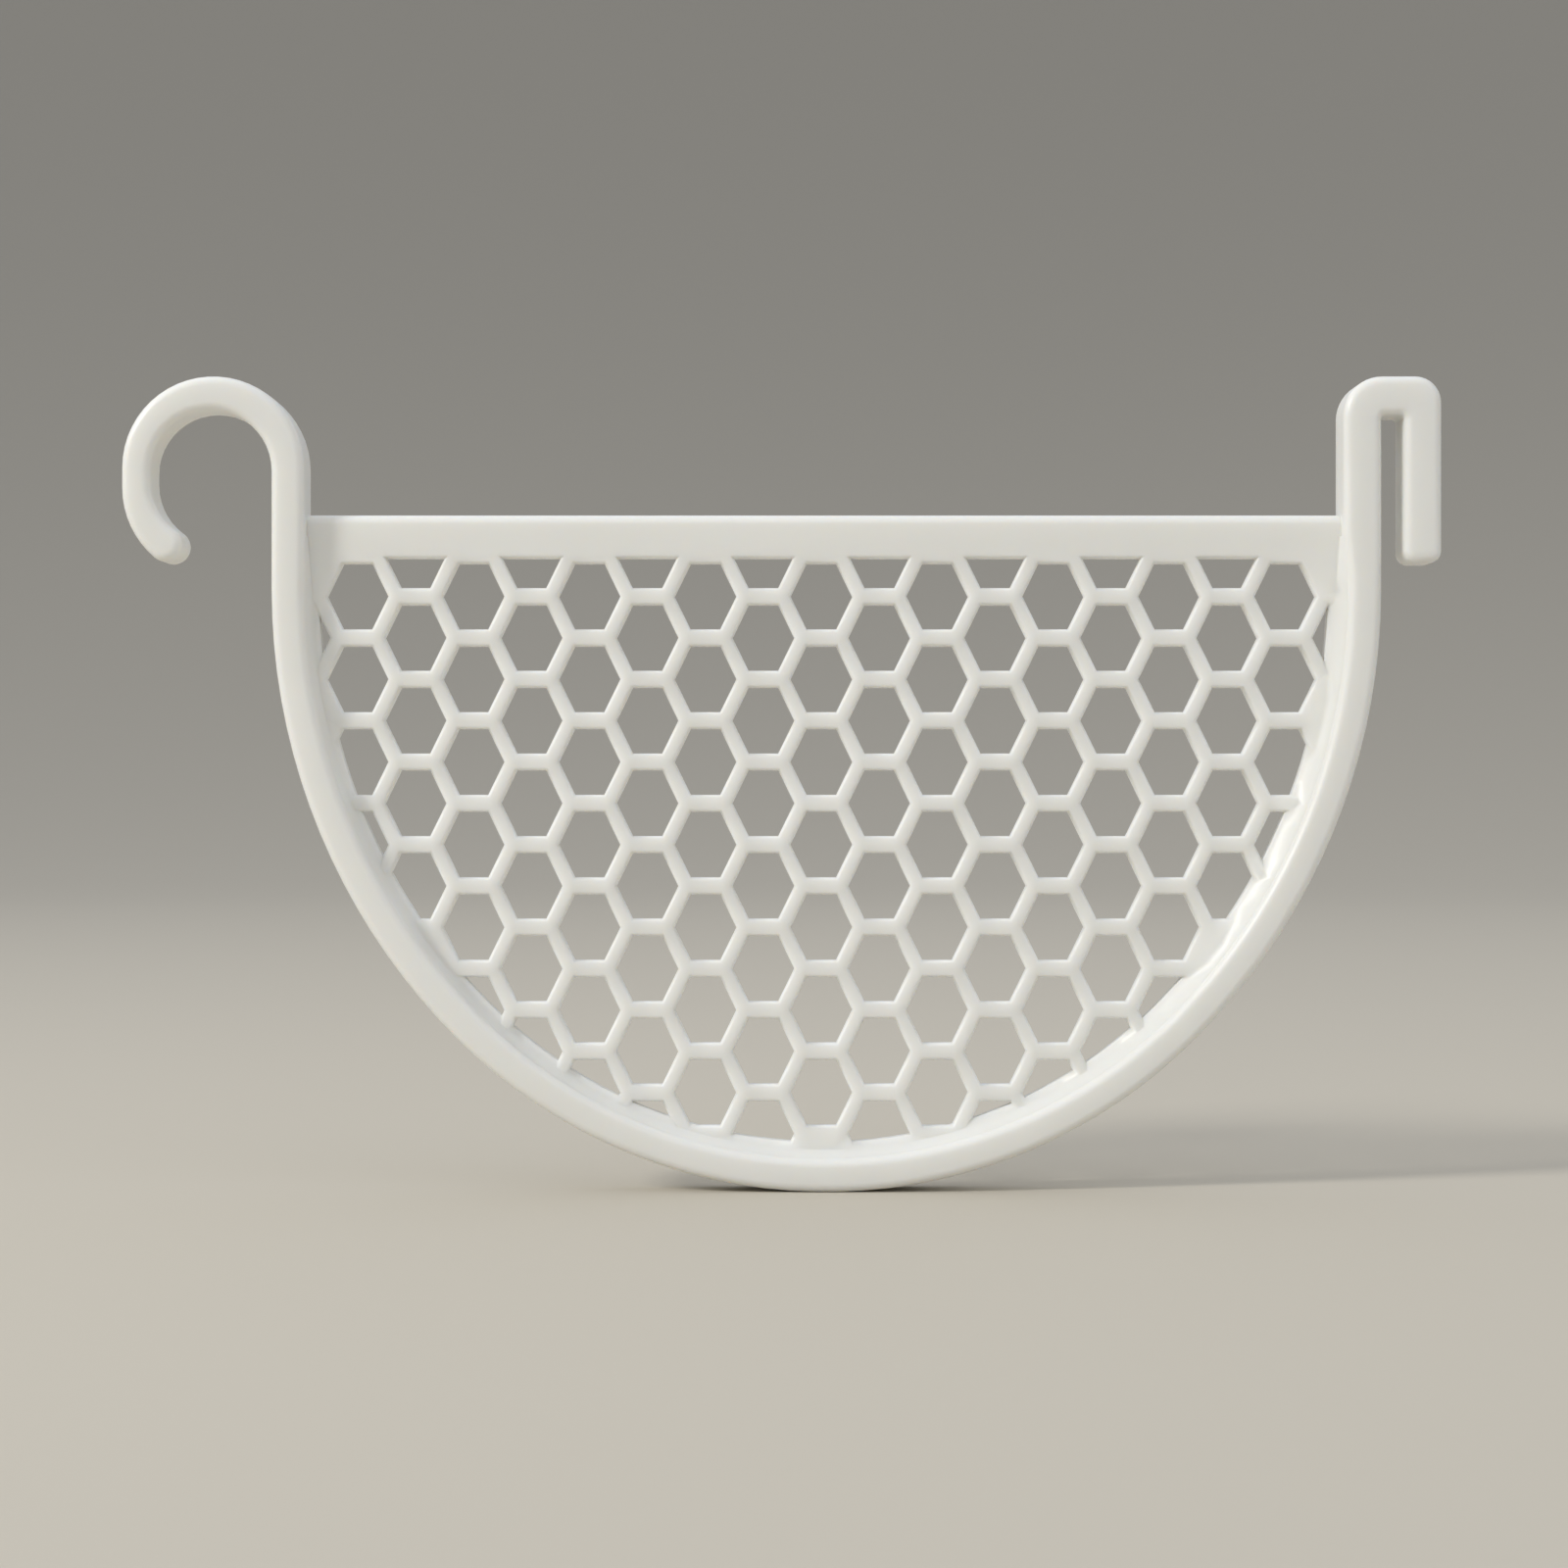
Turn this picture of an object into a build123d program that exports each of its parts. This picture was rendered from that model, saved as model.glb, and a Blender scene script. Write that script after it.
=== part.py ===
import os
from math import atan2, cos, radians, sin, tan

from build123d import *

# Gutter guard, moulded in one piece.
# It stands across a round-bottomed gutter: a hook clips over the gutter's round front bead, a slot
# drops over its thin rear edge, and a honeycomb grille fills the U between them.
# X runs across the gutter with the hook at the left, the front faces -Y, and Z is up.
# The origin is the centre of the bead, halfway through the depth. All sizes are in millimetres.

# U-shaped rim
gutter_width = 150.0        # across the outside of the U
u_drop = 81.4               # from the widest level of the U down to its bottom
u_below_bead = 16.1         # from the bead's centre down to the widest level of the U
side_sweep = 45.0           # degrees that each side of the U turns before its bottom arc takes over
frame_depth = 8.0           # front to back
rim_width = 4.45            # rim's front face, and the post between the hook and the bar
rim_lean = 1.1              # how far the rim's inside leans in on its way back to the grille
ledge_width = 0.9           # the grille's holes stop this far short of the leaning wall
edge_round = 1.1            # rounding along the front and back edges
lining_lap = 0.25           # the leaning wall starts this far inside the rim

# Bead hook
bead_radius = 8.15          # inside of the hook
hook_top = 4.6              # strip over the bead
hook_side = 3.9             # strip down the hook's free side
hook_drop = 1.5             # straight run before the inside turns in under the bead
tip_thickening = 0.8        # the outside turns this much lower, so the tip is stouter
inner_turn = 54.0           # degrees that the inside turns in under the bead
outer_turn = 50.0

# Edge clip
slot_width = 3.0            # gap that takes the gutter's rear edge
clip_post_width = 5.15
prong_width = 5.1
bridge_height = 5.25        # over the slot
clip_drop = 12.45           # from the bead's centre down to the prong's end
clip_inner_corner = 5.3
clip_outer_corner = 3.5
prong_corner = 1.6
slot_corner = 0.6

# Top bar and grille
bar_below_bead = 5.8        # from the bead's centre down to the bar's top
bar_height = 5.85
bar_thickness = 3.2
bar_round = 1.2             # rounding along the bar's top edges
grille_recess = 3.0         # grille and bar lie this far behind the rim's front
grille_thickness = 2.2
grille_set_left = 0.3       # the middle column of cells stands this far left of the opening's middle
column_pitch = 7.88
row_pitch = 11.24
cell_flat = 5.13            # level edge of a cell, strut middle to strut middle
level_strut_width = 2.3
slope_strut_width = 2.0
strut_bevel = 0.35
first_row_gap = 0.75        # from the bar down to the first row of whole holes
smallest_reach = 0.9        # a hole that reaches less than this past the rim is left out
root = 2.2                  # how far the grille and the bar run into the rim and the posts

# Levels and places that follow from the sizes
half_depth = frame_depth / 2
u_left = bead_radius
u_right = u_left + gutter_width
u_middle = (u_left + u_right) / 2
u_level = -u_below_bead
top = bead_radius + hook_top
bar_top = -bar_below_bead
bar_bottom = bar_top - bar_height
post_right = u_left + rim_width
clip_left = u_right - clip_post_width
slot_right = u_right + slot_width
prong_right = slot_right + prong_width
opening_middle = (post_right + clip_left) / 2
slot_top = top - bridge_height
grille_front = -half_depth + grille_recess
grille_back = grille_front + grille_thickness

# The U is drawn with three arcs that run into each other: side, bottom and side
half_width = gutter_width / 2
turn_across, turn_down = cos(radians(side_sweep)), sin(radians(side_sweep))
shares = turn_across * turn_down - (1 - turn_across) * (1 - turn_down)
side_radius = (u_drop * turn_across - half_width * (1 - turn_down)) / shares
bottom_radius = (half_width * turn_down - u_drop * (1 - turn_across)) / shares


def u_curve(inset, middle=u_middle):
    """Draw the U below its widest level, set in from the outside, and return its two ends."""
    side_middle = half_width - side_radius
    left = CenterArc((middle - side_middle, u_level), side_radius - inset, 180, side_sweep)
    bottom_middle = (middle, u_level - u_drop + bottom_radius)
    CenterArc(bottom_middle, bottom_radius - inset, 180 + side_sweep, 180 - 2 * side_sweep)
    right = CenterArc((middle + side_middle, u_level), side_radius - inset, -side_sweep, side_sweep)
    return left @ 0, right @ 1


def u_opening(plane, inset, middle=opening_middle):
    """Inside of the U on one plane, from the bar's top between the posts down to the rim."""
    with BuildSketch(plane) as opening:
        with BuildLine():
            left_end, right_end = u_curve(inset, middle)
            Polyline(right_end, (clip_left, bar_top), (post_right, bar_top), left_end)
        make_face()
    return opening.sketch.face()


def solid_u(back_y, depth):
    """Plate that fills the U, its edge run into the rim all round and its top run into the bar."""
    with BuildPart() as plate:
        with BuildSketch(Plane.XZ.offset(-back_y)):
            with BuildLine():
                left_end, right_end = u_curve(rim_width - root)
                plate_top = (bar_bottom + bar_top) / 2
                Polyline(right_end, (right_end.X, plate_top), (left_end.X, plate_top), left_end)
            make_face()
        extrude(amount=depth)
    return plate.part


def hook_line():
    """Draw the hook's strip from the post round to the tip and back, and return its start."""
    hook_left = bead_radius + hook_side
    outer_radius = (post_right + hook_left) / 2
    outer_middle = ((post_right - hook_left) / 2, top - outer_radius)
    outer_low = (-hook_left, -hook_drop - tip_thickening)
    over = CenterArc(outer_middle, outer_radius, 0, 180)
    side = Line(over @ 1, outer_low)
    turn = JernArc(side @ 1, (0, -1), outer_radius, outer_turn)
    inside = CenterArc((0, -hook_drop), bead_radius, 180, inner_turn)
    TangentArc(turn @ 1, inside @ 1, tangent=turn % 1)
    Line(inside @ 0, (-bead_radius, 0))
    CenterArc((0, 0), bead_radius, 0, 180)
    return over @ 0


# Frame: one flat strip that makes the hook, the U and the clip. Its front and back edges are rounded
# in three thin layers, each with its sides sloped 30 degrees further in than the last.
with BuildPart() as frame:
    with BuildSketch(Plane.XZ) as outline:
        with BuildLine():
            post_top = hook_line()
            outer_left, outer_right = u_curve(0)
            Line((u_left, 0), outer_left)
            Polyline(
                outer_right,
                (u_right, slot_top),
                (slot_right, slot_top),
                (slot_right, -clip_drop),
                (prong_right, -clip_drop),
                (prong_right, top),
                (clip_left, top),
                (clip_left, bar_top),
            )
            inner_left, inner_right = u_curve(rim_width)
            halfway = (inner_right + Vector(clip_left, bar_top)) / 2
            widening = TangentArc(inner_right, halfway, tangent=(0, 1))
            TangentArc(halfway, (clip_left, bar_top), tangent=widening % 1)
            Line(inner_left, post_top)
        make_face()
        for place, radius in (
            ((clip_left, top), clip_inner_corner),
            ((prong_right, top), clip_outer_corner),
            ((slot_right, -clip_drop), prong_corner),
            ((prong_right, -clip_drop), prong_corner),
            ((u_right, slot_top), slot_corner),
            ((slot_right, slot_top), slot_corner),
        ):
            fillet(outline.vertices().sort_by_distance(place)[0], radius)
    extrude(amount=half_depth - edge_round, both=True)
    for turned_from, turned_to in ((0, 30), (30, 60), (60, 90)):
        layer_depth = edge_round * (sin(radians(turned_to)) - sin(radians(turned_from)))
        faces_by_depth = frame.faces().sort_by(Axis.Y)
        ends = [faces_by_depth[0], faces_by_depth[-1]]
        extrude(ends, amount=layer_depth, taper=(turned_from + turned_to) / 2)

# Lining: the inside of the rim leans in down to the grille, where a bevelled ledge stops the holes
holes_inset = rim_width + rim_lean + ledge_width
lining_front = edge_round - half_depth
with BuildPart() as lining:
    add(solid_u(grille_back, grille_back - lining_front))
    sections = [
        u_opening(Plane.XZ.offset(-lining_front), rim_width - lining_lap, u_middle),
        u_opening(Plane.XZ.offset(-grille_front), rim_width + rim_lean),
        u_opening(Plane.XZ.offset(-grille_front - strut_bevel), holes_inset),
        u_opening(Plane.XZ.offset(-grille_back), holes_inset),
    ]
    loft(sections, ruled=True, mode=Mode.SUBTRACT)

# Cell of the grille: a hexagon stretched upwards, whose hole is set in by half a strut all round
cell_half_height = row_pitch / 2
cell_half_width = column_pitch - cell_flat / 2
slant = atan2(cell_half_height, cell_half_width - cell_flat / 2)


def hole_corners(bevel):
    """Corners of a hole, opened out by the bevel where it meets the grille's faces."""
    half_height = cell_half_height - level_strut_width / 2 + bevel
    half_width = cell_half_width - (slope_strut_width / 2 - bevel) / sin(slant)
    half_flat = half_width - half_height / tan(slant)
    right = [(half_flat, -half_height), (half_width, 0), (half_flat, half_height)]
    return right + [(-x, z) for x, z in reversed(right)]


def cell_places():
    """Middles of the cells, column by column; odd columns are half a row higher."""
    places = []
    corners = hole_corners(0)
    open_area = u_opening(Plane.XZ, holes_inset + smallest_reach)
    first_row = bar_bottom - first_row_gap - cell_half_height + level_strut_width / 2
    columns = int(half_width / column_pitch) + 1
    rows = int(u_drop / row_pitch) + 2
    for column in range(-columns, columns + 1):
        x = opening_middle - grille_set_left + column * column_pitch
        lift = cell_half_height * (column % 2)
        for row in range(rows):
            z = first_row + lift - row * row_pitch
            reach = [open_area.is_inside((x + dx, 0, z + dz)) for dx, dz in corners]
            cut_by_bar = row == 0 and lift > 0
            if all(reach) or (any(reach) and not cut_by_bar):
                places.append((x, 0, z))
    return places


# Hole through the grille, with its edges bevelled at the front
with BuildPart() as hole:
    for depth, bevel in (
        (grille_front - strut_bevel, 2 * strut_bevel),
        (grille_front + strut_bevel, 0),
        (grille_back + strut_bevel, 0),
    ):
        with BuildSketch(Plane.XZ.offset(-depth)):
            Polygon(*hole_corners(bevel), align=None)
    loft(ruled=True)

# Grille: a flat plate with its cells cut through
with BuildPart() as grille:
    add(solid_u(grille_back, grille_thickness))
    with Locations(*cell_places()):
        add(hole.part, mode=Mode.SUBTRACT)

# Bar across the top of the grille, run into the posts
with BuildPart() as bar:
    with BuildSketch(Plane.XZ.offset(-grille_front - bar_thickness)):
        with Locations((opening_middle, (bar_top + bar_bottom) / 2)):
            Rectangle(clip_left - post_right + 2 * root, bar_height)
    extrude(amount=bar_thickness)
    long_edges = bar.edges().filter_by(Axis.X).group_by(Axis.Z)
    fillet(long_edges[-1], bar_round)
    chamfer(long_edges[0], strut_bevel)

with BuildPart() as gutter_guard:
    add(frame.part)
    add(lining.part)
    add(grille.part)
    add(bar.part)

gutter_guard.part.label = "gutter_guard"
os.makedirs("parts", exist_ok=True)
export_step(gutter_guard.part, "parts/gutter_guard.step")
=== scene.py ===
from math import cos, radians, sin

import bmesh
import bpy
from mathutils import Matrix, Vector


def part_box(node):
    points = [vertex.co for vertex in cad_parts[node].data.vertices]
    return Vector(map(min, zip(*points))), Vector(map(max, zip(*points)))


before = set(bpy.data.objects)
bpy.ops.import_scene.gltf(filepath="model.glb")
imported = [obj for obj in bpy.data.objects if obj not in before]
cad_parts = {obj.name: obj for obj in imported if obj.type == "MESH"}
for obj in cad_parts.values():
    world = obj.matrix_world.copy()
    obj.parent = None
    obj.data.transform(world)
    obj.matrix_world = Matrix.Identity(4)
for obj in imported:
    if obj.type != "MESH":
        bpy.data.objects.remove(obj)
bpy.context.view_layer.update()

MM = 0.001
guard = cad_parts["gutter_guard"]

# Where the guard stands: the origin is the centre of the gutter's bead, and the front faces -Y
low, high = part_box("gutter_guard")
middle = (low + high) / 2
ground = low.z


def linear(hex_colour):
    """An sRGB hex colour as Blender's linear colour."""
    channels = [int(hex_colour[i:i + 2], 16) / 255 for i in (1, 3, 5)]
    return [c / 12.92 if c <= 0.04045 else ((c + 0.055) / 1.055) ** 2.4 for c in channels] + [1]


def add_node(tree, kind, settings=None, inputs=None, links=None):
    """Add a node, set its properties and its input values, and link its inputs from other sockets."""
    node = tree.nodes.new(kind)
    for name, value in (settings or {}).items():
        setattr(node, name, value)
    for name, value in (inputs or {}).items():
        node.inputs[name].default_value = value
    for name, socket in (links or {}).items():
        tree.links.new(socket, node.inputs[name])
    return node


def new_material(name):
    """An empty node material, with its tree and its output node."""
    material = bpy.data.materials.new(name)
    material.use_nodes = True
    tree = material.node_tree
    tree.nodes.clear()
    return material, tree, tree.nodes.new("ShaderNodeOutputMaterial")


def moulded_polypropylene():
    """White polypropylene, injection moulded in a lightly textured mould: a soft sheen that blurs what
    it reflects, faint flow marks and a fine grain. It lets light through, which fills its thin struts."""
    flow_mark = 35 * MM         # cloudy marks left as the melt filled the mould
    sheen_patch = 9 * MM        # where the mould's own finish was a little brighter or duller
    grain_size = 0.7 * MM       # about 0.2 mm on the real one, too fine to show, so drawn coarser
    grain_depth = 0.02 * MM
    corner_radius = 0.4 * MM    # sharp corners catch the light as if this round
    light_reach = 2.5 * MM      # how far light spreads inside the plastic

    material, tree, output = new_material("moulded_polypropylene")
    place = add_node(tree, "ShaderNodeTexCoord").outputs["Object"]
    flow_marks = add_node(
        tree, "ShaderNodeTexNoise",
        inputs={"Scale": 1 / flow_mark, "Detail": 2, "Roughness": 0.5}, links={"Vector": place},
    )
    colour = add_node(
        tree, "ShaderNodeMix", settings={"data_type": "RGBA"},
        inputs={"A": linear("#EFEFEC"), "B": linear("#E8E8E4")},
        links={"Factor": flow_marks.outputs["Fac"]},
    )
    sheen_patches = add_node(
        tree, "ShaderNodeTexNoise",
        inputs={"Scale": 1 / sheen_patch, "Detail": 3, "Roughness": 0.55}, links={"Vector": place},
    )
    roughness = add_node(
        tree, "ShaderNodeMapRange", inputs={"To Min": 0.3, "To Max": 0.42},
        links={"Value": sheen_patches.outputs["Fac"]},
    )
    grain = add_node(
        tree, "ShaderNodeTexNoise",
        inputs={"Scale": 1 / grain_size, "Detail": 2, "Roughness": 0.6}, links={"Vector": place},
    )
    soft_corners = add_node(tree, "ShaderNodeBevel", inputs={"Radius": corner_radius})
    surface = add_node(
        tree, "ShaderNodeBump", inputs={"Strength": 0.12, "Distance": grain_depth},
        links={"Height": grain.outputs["Fac"], "Normal": soft_corners.outputs["Normal"]},
    )
    plastic = add_node(
        tree, "ShaderNodeBsdfPrincipled",
        inputs={
            "IOR": 1.49,
            "Subsurface Weight": 0.7,
            "Subsurface Radius": (1.0, 0.9, 0.75),
            "Subsurface Scale": light_reach,
        },
        links={
            "Base Color": colour.outputs["Result"],
            "Roughness": roughness.outputs["Result"],
            "Normal": surface.outputs["Normal"],
        },
    )
    tree.links.new(plastic.outputs["BSDF"], output.inputs["Surface"])
    return material


def painted_board(near_colour, far_colour, near, far):
    """Matt painted board, pale under the guard and deeper further out, between two distances; the
    deepening is painted shade, a falloff of the light.
    """
    material, tree, output = new_material("painted_board")
    place = add_node(tree, "ShaderNodeTexCoord").outputs["Object"]
    distance = add_node(tree, "ShaderNodeVectorMath", settings={"operation": "LENGTH"}, links={0: place})
    # painted shade: the colour deepens with distance from the board's middle, standing in for the light's
    # falloff
    painted_falloff = add_node(
        tree, "ShaderNodeMapRange", settings={"interpolation_type": "SMOOTHSTEP"},
        inputs={"From Min": near, "From Max": far}, links={"Value": distance.outputs["Value"]},
    )
    colour = add_node(
        tree, "ShaderNodeMix", settings={"data_type": "RGBA"},
        inputs={"A": linear(near_colour), "B": linear(far_colour)},
        links={"Factor": painted_falloff.outputs["Result"]},
    )
    paint = add_node(
        tree, "ShaderNodeBsdfPrincipled", inputs={"Roughness": 0.9},
        links={"Base Color": colour.outputs["Result"]},
    )
    tree.links.new(paint.outputs["BSDF"], output.inputs["Surface"])
    return material


def soften_edges(piece):
    """Shade the narrow facets along the edges as one round edge, and leave true corners sharp."""
    doubled = 0.002 * MM        # points of neighbouring facets that are this close are one point
    true_corner = radians(50)

    tree = bpy.data.node_groups.new("joined_facets", "GeometryNodeTree")
    for direction in ("INPUT", "OUTPUT"):
        tree.interface.new_socket("Geometry", in_out=direction, socket_type="NodeSocketGeometry")
    given = add_node(tree, "NodeGroupInput")
    joined = add_node(
        tree, "GeometryNodeMergeByDistance", inputs={"Distance": doubled},
        links={"Geometry": given.outputs["Geometry"]},
    )
    smooth = add_node(
        tree, "GeometryNodeSetShadeSmooth", settings={"domain": "FACE"},
        links={"Geometry": joined.outputs["Geometry"]},
    )
    turn = add_node(tree, "GeometryNodeInputMeshEdgeAngle")
    corner = add_node(
        tree, "FunctionNodeCompare", settings={"operation": "GREATER_THAN"},
        inputs={"B": true_corner}, links={"A": turn.outputs["Unsigned Angle"]},
    )
    sharp = add_node(
        tree, "GeometryNodeSetShadeSmooth", settings={"domain": "EDGE"}, inputs={"Shade Smooth": False},
        links={"Geometry": smooth.outputs["Geometry"], "Selection": corner.outputs["Result"]},
    )
    add_node(tree, "NodeGroupOutput", links={"Geometry": sharp.outputs["Geometry"]})
    piece.modifiers.new("joined_facets", "NODES").node_group = tree
    round_edges = piece.modifiers.new("round_edges", "WEIGHTED_NORMAL")
    round_edges.keep_sharp = True
    round_edges.weight = 90     # the broad faces stay flat and the narrow facets do the turning


# Guard: the CAD node keeps its shape and is shown in the real plastic
guard.data.materials.clear()
guard.data.materials.append(moulded_polypropylene())
soften_edges(guard)

# Floor and backdrop: one pale board, flat under the guard, that curves up gently all round, its colour
# deepening further out as painted shade
flat_radius, bend_radius, bend_end = 1.2, 2.4, 60
profile = [(0, 0), (flat_radius, 0)]
profile += [
    (flat_radius + bend_radius * sin(radians(turned)), bend_radius * (1 - cos(radians(turned))))
    for turned in range(3, bend_end + 1, 3)
]
sweep = bmesh.new()
line = [sweep.verts.new((across, 0, up)) for across, up in profile]
edges = [sweep.edges.new(pair) for pair in zip(line, line[1:])]
bmesh.ops.spin(
    sweep, geom=line + edges, cent=(0, 0, 0), axis=(0, 0, 1), angle=radians(360), steps=96,
    use_merge=True,
)
bmesh.ops.recalc_face_normals(sweep, faces=sweep.faces)
board = bpy.data.meshes.new("floor")
sweep.to_mesh(board)
sweep.free()
board.shade_smooth()
# painted shade: the board deepens from pale to grey further out from the guard
board.materials.append(painted_board("#C6BFB1", "#9E998F", near=0.5, far=3.2))
floor = bpy.data.objects.new("floor", board)
floor.location = (middle.x, middle.y, ground)
bpy.context.scene.collection.objects.link(floor)

# Camera: level, square to the guard's front, at the photograph's distance
camera_distance = 440 * MM          # to the guard's front face
frame_width = 211.45 * MM           # what the picture shows across at that face
axis_x, axis_z = 77.42 * MM, -42.34 * MM
sensor = 36.0
camera_data = bpy.data.cameras.new("camera")
camera_data.sensor_width = sensor
camera_data.lens = sensor * camera_distance / frame_width
camera = bpy.data.objects.new("camera", camera_data)
camera.location = (axis_x, low.y - camera_distance, axis_z)
camera.rotation_euler = (radians(90), 0, 0)
bpy.context.scene.collection.objects.link(camera)
bpy.context.scene.camera = camera


def softbox(name, offset, size, spread, power, hex_colour):
    """Square area lamp, offset from the guard's middle and turned to face it, that lights only what
    lies within its spread in degrees."""
    lamp = bpy.data.lights.new(name, "AREA")
    lamp.shape = "SQUARE"
    lamp.size = size
    lamp.spread = radians(spread)
    lamp.energy = power
    lamp.color = linear(hex_colour)[:3]
    holder = bpy.data.objects.new(name, lamp)
    holder.location = middle + Vector(offset)
    holder.rotation_euler = (-Vector(offset)).to_track_quat("-Z", "Y").to_euler()
    bpy.context.scene.collection.objects.link(holder)


# Light: a soft key from the front, left and above, a weak fill from the right, and an even sky
softbox("key", (-1.28, -0.7, 0.84), size=0.3, spread=80, power=2.75, hex_colour="#FFFDF8")
softbox("fill", (0.8, -0.7, 0.2), size=0.8, spread=180, power=1.0, hex_colour="#FAFCFF")

world = bpy.data.worlds.new("studio")
world.use_nodes = True
sky = world.node_tree
sky.nodes.clear()
background = add_node(sky, "ShaderNodeBackground", inputs={"Color": linear("#F4F8FF"), "Strength": 0.8})
add_node(sky, "ShaderNodeOutputWorld", links={"Surface": background.outputs["Background"]})
bpy.context.scene.world = world

bpy.context.scene.view_settings.view_transform = "Standard"
